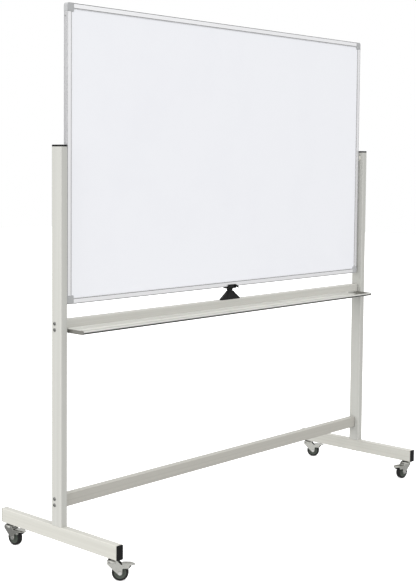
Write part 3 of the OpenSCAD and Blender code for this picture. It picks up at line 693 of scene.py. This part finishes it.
def latch_slide():
    """The sliding catch: neck, saddle floor, two lips beside the rail with a bead along the front
    one, and a finger tab to the right."""
    low, high = corners_of("latch_slider")
    lip_h, lip_t, bead = 14, 2.8, 0.5
    saddle_z = high[2] - lip_h
    depth = high[1]
    axes = ((0, 0, saddle_z), X, Z, Y)
    neck = filleted([(-12, low[2] - saddle_z, 1), (12, low[2] - saddle_z, 1), (12, -4, 3),
                     (16, 1.5, 1), (-16, 1.5, 1), (-12, -4, 3)])
    floor_axes = ((0, 0, saddle_z), X, Y, Z)
    floor = filleted(rounded_rectangle(46, 2 * depth, 2.5))
    lip = filleted([(-23, 0, 1.2), (23, 0, 1.2), (20.4, lip_h, 3.2), (-19, lip_h, 4)])
    tab = filleted([(10, 1, 2), (24, 4.5, 3), (33, -0.6, 1), (36.4, -1.2, 1), (34.4, 6.5, 3.6),
                    (20, 13.8, 6), (8, 13.8, 2)])
    bead_line = filleted([(-18, 3, 1), (17, 3, 1), (16, 11, 2), (-15.5, 11, 2)])
    shapes = [prism(neck, -3, 3, 0.8, axes), prism(floor, 0, 3, 0.8, floor_axes)]
    for face in (FRONT, REAR):
        inner, outer = sorted((face * (depth - lip_t), face * depth))
        shapes.append(prism(lip, inner, outer, 0.8, axes))
    shapes.append(prism(tab, -depth, lip_t - depth, 0.8, axes))
    shapes.append(piping(bead_line, bead, -depth, axes, 8))
    piece("latch_catch", shapes, "black_plastic", "latch_slider", ["latch_slider"])


SPRING_WIRE = 0.28                  # the wire's radius
SPRING_TURNS = 4


def latch_spring():
    """The catch's spring: a round wire along a helix, whose rings stand on the radius and Z. It rides
    on the catch."""
    low, high = corners_of("latch_spring")
    length = high[2] - low[2]
    middle = (low + high) / 2
    turn = np.linspace(0, SPRING_TURNS * TAU, SPRING_TURNS * 32 + 1)[:, None]
    around = np.linspace(0, TAU, 10, endpoint=False)
    radius = high[0] - middle[0] - SPRING_WIRE * (1 - np.cos(around))
    rise = (low[2] + SPRING_WIRE + (length - 2 * SPRING_WIRE) * turn / turn[-1]
            + SPRING_WIRE * np.sin(around))
    coil = placed(radius * np.cos(turn), radius * np.sin(turn), rise, (middle * (X + Y), X, Y, Z))
    spring = piece("latch_coil", [skin(coil)], "dark_zinc", "latch_slider", ["latch_spring"])
    travel = JOINTS["latch_slide"]["range_m"][1] / MM
    (length - travel) / length
    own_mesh(spring)


# ---------------------------------------------------------------- castors

FORK_IN, FORK_OUT = 11, 13          # the cheeks' faces, from the wheel's middle plane
EAR_IN, EAR_OUT = 13.4, 15.2        # the pedal's ears outside them
HEAD_R = 17
STEM_R = 4.2                        # the hole for the stem in the head and in the dust ring


class CastorPlace:
    """One castor's own directions: u along its pedal from the swivel axis, v along its axle, z up."""

    def __init__(self, corner):
        self.corner = corner
        swivel = np.array(JOINTS["swivel_" + corner]["pos_m"]) / MM
        axle = np.array(JOINTS["roll_" + corner]["pos_m"]) / MM
        hinge = np.array(JOINTS["pedal_" + corner]["pos_m"]) / MM
        self.base = swivel * (X + Y)
        self.v = np.array(JOINTS["roll_" + corner]["axis"], float)
        self.u = np.cross(self.v, Z)
        self.trail, self.axle_z = (axle - self.base) @ self.u, axle[2]
        self.hinge_u, self.hinge_z = (hinge - self.base) @ self.u, hinge[2]
        self.head_z = corners_of("fork_" + corner)[1][2]
        self.wheel_r = corners_of("tyre_" + corner)[1][2] / 2
        self.pedal_top = corners_of("brake_pedal_" + corner)[1][2]
        self.foot_z = swivel[2]
        self.side_axes = (self.base, self.u, Z, self.v)
        self.plan_axes = (self.base, self.u, self.v, Z)

    def across(self, u, z):
        """Axes for turning a shape about a line along v through (u, z)."""
        return (self.base + u * self.u + z * Z, self.u, Z, self.v)


def fork(c):
    """The pressed steel fork: a round head with rolled shoulders, a folded yoke under it, and two
    cheeks, each a leg to the axle and an arm to the pedal's hinge."""
    boss, ear, top = 7.3, 4.5, c.head_z
    cheek = filleted([
        (-16, top, 7), (-16, top - 12, 6), (c.trail - 2.6, c.axle_z - boss, boss - 0.4),
        (c.trail + boss, c.axle_z - boss, boss - 0.4), (c.trail + boss, c.hinge_z - ear, 3.5),
        (c.hinge_u + ear, c.hinge_z - ear, ear - 0.2), (c.hinge_u + ear, c.hinge_z + ear, ear - 0.2),
        (c.trail + 3.5, c.pedal_top - 3.4, 4), (12, top, 5)])
    shapes = []
    for side in (LEFT, RIGHT):
        inner, outer = sorted((side * FORK_IN, side * FORK_OUT))
        shapes.append(prism(cheek, inner, outer, 0.6, c.side_axes, steps=3))
    fold, rear, ahead = top - 9, -13, 11
    yoke = filleted([(FORK_OUT, fold, 0.4), (FORK_OUT, top, 4), (-FORK_OUT, top, 4),
                     (-FORK_OUT, fold, 0.4), (-FORK_IN, fold, 0.4), (-FORK_IN, top - 2, 2.2),
                     (FORK_IN, top - 2, 2.2), (FORK_IN, fold, 0.4)])
    shapes.append(prism(yoke, rear, ahead, 0.4, (c.base, c.v, Z, c.u), steps=2))
    skirt, inside = top - 8.2, HEAD_R - 1.6
    head = ring_profile([(STEM_R, top, 0.4), (10.5, top, 0.8), (11.5, top - 0.9, 0.8),
                         (HEAD_R, top - 1.6, 3.4), (HEAD_R, skirt, 0.5), (inside, skirt, 0.5),
                         (inside, top - 3.6, 2.2), (STEM_R, top - 2.4, 0.4)])
    shapes.append(lathe(head, c.plan_axes, 72))
    piece("fork_" + c.corner + "_pressed", shapes, "castor_steel", "castor_" + c.corner,
          ["fork_" + c.corner])


def swivel_race(c):
    """The dust ring between the swivel head and the foot, a stepped disc turned about the stem."""
    low, high = c.head_z + 0.4, c.foot_z
    profile = ring_profile([(STEM_R, low, 0.2), (12.5, low, 0.6), (13, high - 0.9, 0.4), (10, high, 0.4),
                            (STEM_R, high, 0.2)])
    piece("swivel_ring_" + c.corner, [lathe(profile, c.plan_axes)], "black_steel", "stand")


def pedal_plate(c):
    """The pedal's sheet: across it z drops by edge |s|^7, so both edges turn down, with a low crown
    of crown (1 - s^2). From the bend on, taper runs from 0 to 1 at the tip: the turned edges fade
    with it, the sheet droops by its square, and the half width narrows to a round tip."""
    start, bend, tip = c.trail + 6, c.hinge_u + 6, c.hinge_u + 23.1
    along = 1 - (1 - np.linspace(0, 1, 36)) ** 1.7
    u = start + (tip - start) * along
    taper = np.clip((u - bend) / (tip - bend), 0, 1)
    crown, edge, sheet = 0.7, 2.4, 1.5
    half = (EAR_OUT - 0.1) * (1 - taper ** 2.4) ** 0.62 * (1 - 0.34 * taper)
    s = np.sin(np.linspace(-np.pi / 2, np.pi / 2, 25))
    v = half[:, None] * s
    droop = 3.2 * taper ** 2
    z = (c.pedal_top - 0.8 + crown * (1 - s ** 2)[None]
         - edge * np.abs(s)[None] ** 7 * (1 - taper[:, None]) - droop[:, None])
    top = placed(np.broadcast_to(u[:, None], v.shape), v, z, c.plan_axes)
    bottom = placed(np.broadcast_to(u[:, None], v.shape), v * 0.985, z - sheet, c.plan_axes)
    return skin(np.concatenate((top, bottom[:, ::-1]), axis=1))


def brake_pedal(c):
    """The pedal with its two ears and the rivet they turn on, and the shoe under it."""
    shapes = [pedal_plate(c)]
    top = c.pedal_top - 1.4
    ear = filleted([(c.trail + 6.5, top, 1), (c.trail + 8, top - 3, 1.5),
                    (c.hinge_u - 4, c.hinge_z - 4.2, 3.4), (c.hinge_u + 4.2, c.hinge_z - 4.2, 3.6),
                    (c.hinge_u + 9, top, 1)])
    for side in (LEFT, RIGHT):
        inner, outer = sorted((side * EAR_IN, side * EAR_OUT))
        shapes.append(prism(ear, inner, outer, 0.5, c.side_axes, steps=3))
    rivet_end = [(1.9, EAR_OUT), (3.2, EAR_OUT), (3, 15.9), (1.6, 16.4), (0, 16.4)]
    rivet = [(r, -along) for r, along in reversed(rivet_end)] + rivet_end
    shapes.append(lathe(rivet, c.across(c.hinge_u, c.hinge_z), 32))
    piece("pedal_" + c.corner, shapes, "castor_steel", "brake_" + c.corner,
          ["brake_pedal_" + c.corner])
    shoe = filleted([(c.hinge_u + 2.5, c.pedal_top - 2.4, 1), (c.hinge_u + 13, c.pedal_top - 2.4, 1),
                     (c.hinge_u + 11, c.pedal_top - 8, 2), (c.hinge_u + 5.5, c.hinge_z - 5.5, 1.6),
                     (c.hinge_u + 2.8, c.hinge_z - 4.6, 1.2)])
    shoe_half = 9.5
    piece("brake_shoe_" + c.corner, [prism(shoe, -shoe_half, shoe_half, 0.8, c.side_axes)],
          "black_plastic", "brake_" + c.corner)


def hub(c):
    """The wheel centre: one section of boss, ringed web and rim, turned about the axle."""
    rim = c.wheel_r - 6.5
    half = [(3.1, 10.4, 0.3), (6.6, 10.4, 0.8), (7.2, 6.4, 0.8), (9.4, 6.0, 0.4), (9.8, 5.1, 0.3),
            (10.6, 5.1, 0.3), (11.0, 6.2, 0.4), (rim - 4.4, 6.6, 0.4), (rim - 4.0, 5.6, 0.3),
            (rim - 3.1, 5.6, 0.3), (rim - 2.6, 7.3, 0.5), (rim, 7.8, 0.4)]
    corners = half + [(r, -h, radius) for r, h, radius in reversed(half)]
    piece("wheel_centre_" + c.corner, [lathe(ring_profile(corners), c.across(c.trail, c.axle_z), 72)],
          "hub_plastic", "wheel_" + c.corner, ["hub_" + c.corner])


def tyre(c):
    """The tyre: a section with a round shoulder, a slight sidewall step and a crowned tread, turned
    about the axle."""
    r = c.wheel_r
    half = [(r - 6.6, 8.0, 0.4), (r - 5.4, 8.7, 0.5), (r - 4.9, 8.3, 0.3), (r - 4.3, 8.8, 0.4),
            (r - 1.9, 9, 2.0), (r - 0.15, 6.6, 3.0), (r, 0.9, 2)]
    corners = half + [(q, -h, radius) for q, h, radius in reversed(half)]
    piece("rubber_tyre_" + c.corner, [lathe(ring_profile(corners), c.across(c.trail, c.axle_z), 96)],
          "tyre_rubber", "wheel_" + c.corner, ["tyre_" + c.corner])


# ---------------------------------------------------------------- studio

def sky():
    """White to the camera. As light, a level that changes evenly across the whole sphere, the mean
    plus the direction's dot product with the slope, less a screen that darkens as a power of the
    cosine to its own direction."""
    world = bpy.data.worlds.new("studio")
    bpy.context.scene.world = world
    world.use_nodes = True
    n = Nodes(world.node_tree)
    way = n.add("TexCoord", {}, {}, "Generated")

    def towards(direction):
        return n.add("VectorMath", {"operation": "DOT_PRODUCT"}, {0: way, 1: direction}, "Value")

    screen = n.maths("MAXIMUM", towards(SHADE_WAY), 0.0) ** SHADE_TIGHT * SHADE_DEPTH
    level = n.maths("MAXIMUM", towards(SKY_SLOPE) + SKY_MEAN - screen, SKY_LEAST)
    seen = n.add("LightPath", {}, {}, "Is Camera Ray")
    background = world.node_tree.nodes["Background"]
    n.feed(background.inputs["Color"], (1, 1, 1, 1))
    n.feed(background.inputs["Strength"], seen * BACKDROP_WHITE + (1 - seen) * level)


def studio():
    """A sky, a lamp on the left, and a white floor that the camera sees and whose glow doesn't
    reach the stand."""
    sky()
    soft_box("left_lamp", LAMP_PLACE, LAMP_AIM, LAMP_SIZE, LAMP_WATTS)
    corners = [(x * FLOOR_HALF, y * FLOOR_HALF, 0) for x, y in ((-1, -1), (1, -1), (1, 1), (-1, 1))]
    floor_mesh = bpy.data.meshes.new("floor")
    floor_mesh.from_pydata(corners, [], [(0, 1, 2, 3)])
    floor = bpy.data.objects.new("floor", floor_mesh)
    bpy.context.scene.collection.objects.link(floor)
    floor_mesh.materials.append(pale_floor())
    floor.visible_diffuse = False
    floor.visible_glossy = False
    bpy.context.scene.view_settings.view_transform = "Standard"


# ---------------------------------------------------------------- carried-over nodes

# The paint tones of the posts, feet and crossbars below are painted light and shade.
SPECIAL_FINISH = {"crossbar_bolts": "dark_zinc", "latch_screws": "dark_zinc",
                  "tray_screws": "tray_aluminium", "crossbar_inserts": "insert_plastic",
                  "post_left": "post_paint_painted_shading", "post_right": "post_paint_painted_shading", "foot_left": "foot_paint_painted_shading",
                  "foot_right": "foot_paint_painted_shading", "lower_crossbar": "lower_bar_paint_painted_shade",
                  "upper_crossbar": "upper_bar_paint_painted_shading"}


def paint_cad_nodes():
    """Gives every node its slot's finish, or its own where its plating differs or where its tone is painted light
    and shade.
    """
    slots = {s["node"]: s["material_slot"] for s in frame["record"]["subparts"]}
    slots.update({name: "tray_aluminium" for name, slot in slots.items() if slot == "anodised_aluminium"})
    slots.update(SPECIAL_FINISH)
    for name, node in frame["nodes"].items():
        node.data.materials.clear()
        node.data.materials.append(FINISHES[slots[name]])


paint_cad_nodes()
frame_rails()
corner_caps()
post_caps()
foot_caps()
tray()
latch_housing()
latch_slide()
latch_spring()
for place in map(CastorPlace, CASTORS):
    fork(place)
    swivel_race(place)
    brake_pedal(place)
    hub(place)
    tyre(place)
stand_camera()
studio()
